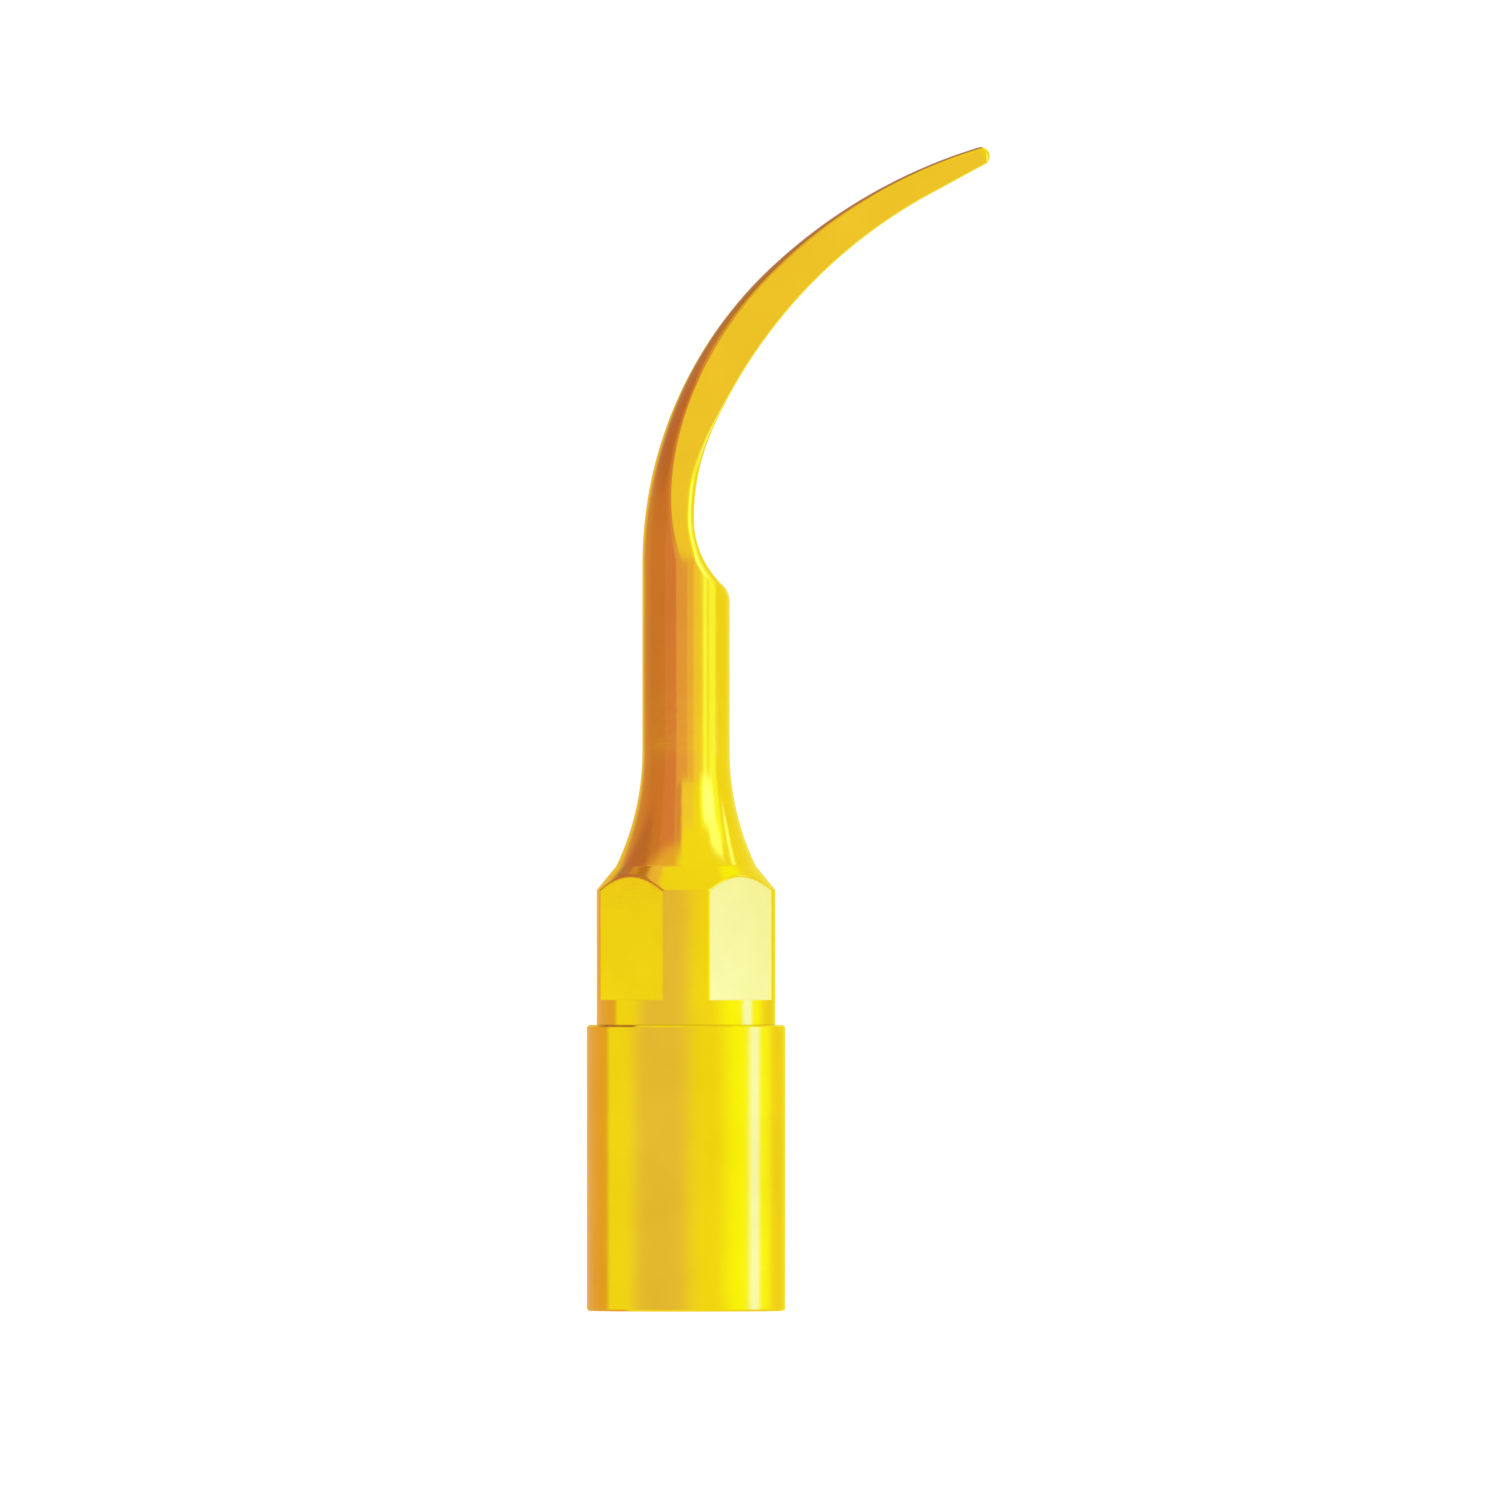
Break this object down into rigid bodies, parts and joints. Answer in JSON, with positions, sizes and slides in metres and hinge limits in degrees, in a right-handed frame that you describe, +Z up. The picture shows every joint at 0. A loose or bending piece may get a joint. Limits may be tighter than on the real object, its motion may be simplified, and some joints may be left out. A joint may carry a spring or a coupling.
{
  "type": "ultrasonic dental tip",
  "caption": "Bent, flat-sided ultrasonic dental tip on a wrench hub, with a threaded base that screws onto a handpiece and an inner water way.",
  "frame": {"origin": "centre of the base's flat end face, at the mouth of the threaded hole", "axes": "+Z up the base's axis towards the blade, +X the side the blade bends to"},
  "size_m": [0.0102, 0.005, 0.0293],
  "materials": {
    "coated_tip": "gold-coloured hard coating on polished steel",
    "coated_barrel": "gold-coloured hard coating on turned steel",
    "bare_core": "uncoated tapped steel",
    "tube_steel": "drawn stainless tube"
  },
  "bodies": {
    "root": {"working_tip": "coated_tip", "base_barrel": "coated_barrel", "threaded_core": "bare_core", "water_tube": "tube_steel"}
  },
  "joints": []
}
